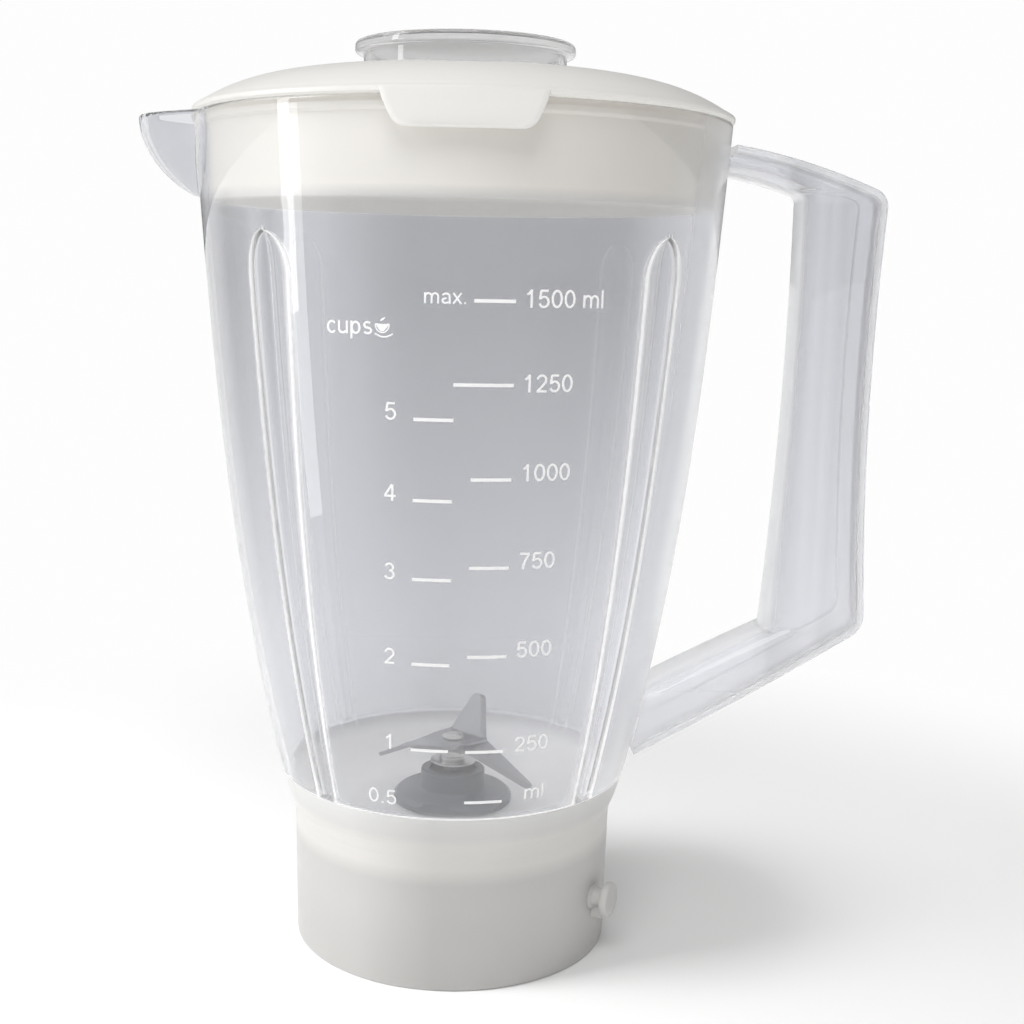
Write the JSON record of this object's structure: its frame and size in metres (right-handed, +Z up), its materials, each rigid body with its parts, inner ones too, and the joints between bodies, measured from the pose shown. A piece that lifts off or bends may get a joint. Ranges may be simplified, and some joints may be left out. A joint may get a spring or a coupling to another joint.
{
  "type": "blender jug",
  "caption": "Clear tapered blender jug with side handle, pouring spout, frosted base collar, domed lid with filler cap, and a lift-out blade unit.",
  "frame": {"origin": "centre of the collar's bottom edge, on the jug's axis", "axes": "+Z up along the jug's axis, +X towards the handle, -Y the side with the printed scale, -X the spout"},
  "size_m": [0.2006, 0.1492, 0.2481],
  "materials": {
    "jug_clear": "clear moulded plastic, slightly milky",
    "handle_clear": "clear moulded plastic",
    "cap_clear": "clear moulded plastic",
    "collar_frosted": "milky frosted plastic",
    "print_white": "white screen print",
    "lid_white": "satin warm white",
    "holder_grey": "satin blue grey",
    "nut_grey": "satin",
    "seal_rubber": "matt",
    "bush_bronze": "sintered",
    "steel_blade": "ground",
    "steel_shaft": "turned",
    "coupling_black": "moulded"
  },
  "bodies": {
    "jug_body": {"jug": "jug_clear", "handle_shell": "handle_clear", "handle_cover": "handle_clear", "base_collar": "collar_frosted", "scale_marks": "print_white"},
    "lid_body": {"lid": "lid_white"},
    "cap_body": {"filler_cap": "cap_clear"},
    "blade_unit": {"blade_holder": "holder_grey", "floor_seal": "seal_rubber", "upper_bush": "bush_bronze", "lower_bush": "bush_bronze", "shaft_seal": "seal_rubber"},
    "blade_spindle": {"blade_shaft": "steel_shaft", "splash_washer": "steel_shaft", "blade_spacer": "steel_shaft", "lower_blade": "steel_blade", "upper_blade": "steel_blade", "blade_rivet": "steel_shaft", "thrust_washer": "seal_rubber", "circlip": "steel_shaft", "coupling_insert": "bush_bronze", "drive_coupling": "coupling_black"},
    "nut_body": {"locking_nut": "nut_grey"}
  },
  "joints": [
    {"name": "lid_lift", "type": "slide", "parent": "jug_body", "child": "lid_body", "axis": [0, 0, 1], "range_m": [0, 0.08]},
    {"name": "cap_lift", "type": "slide", "parent": "lid_body", "child": "cap_body", "axis": [0, 0, 1], "range_m": [0, 0.05]},
    {"name": "blade_unit_lift", "type": "slide", "parent": "jug_body", "child": "blade_unit", "axis": [0, 0, 1], "range_m": [0, 0.1]},
    {"name": "blade_spin", "type": "hinge", "parent": "blade_unit", "child": "blade_spindle", "pos_m": [0, 0, 0.05], "axis": [0, 0, 1], "continuous": true},
    {"name": "nut_drop", "type": "slide", "parent": "jug_body", "child": "nut_body", "axis": [0, 0, -1], "range_m": [0, 0.02]}
  ]
}
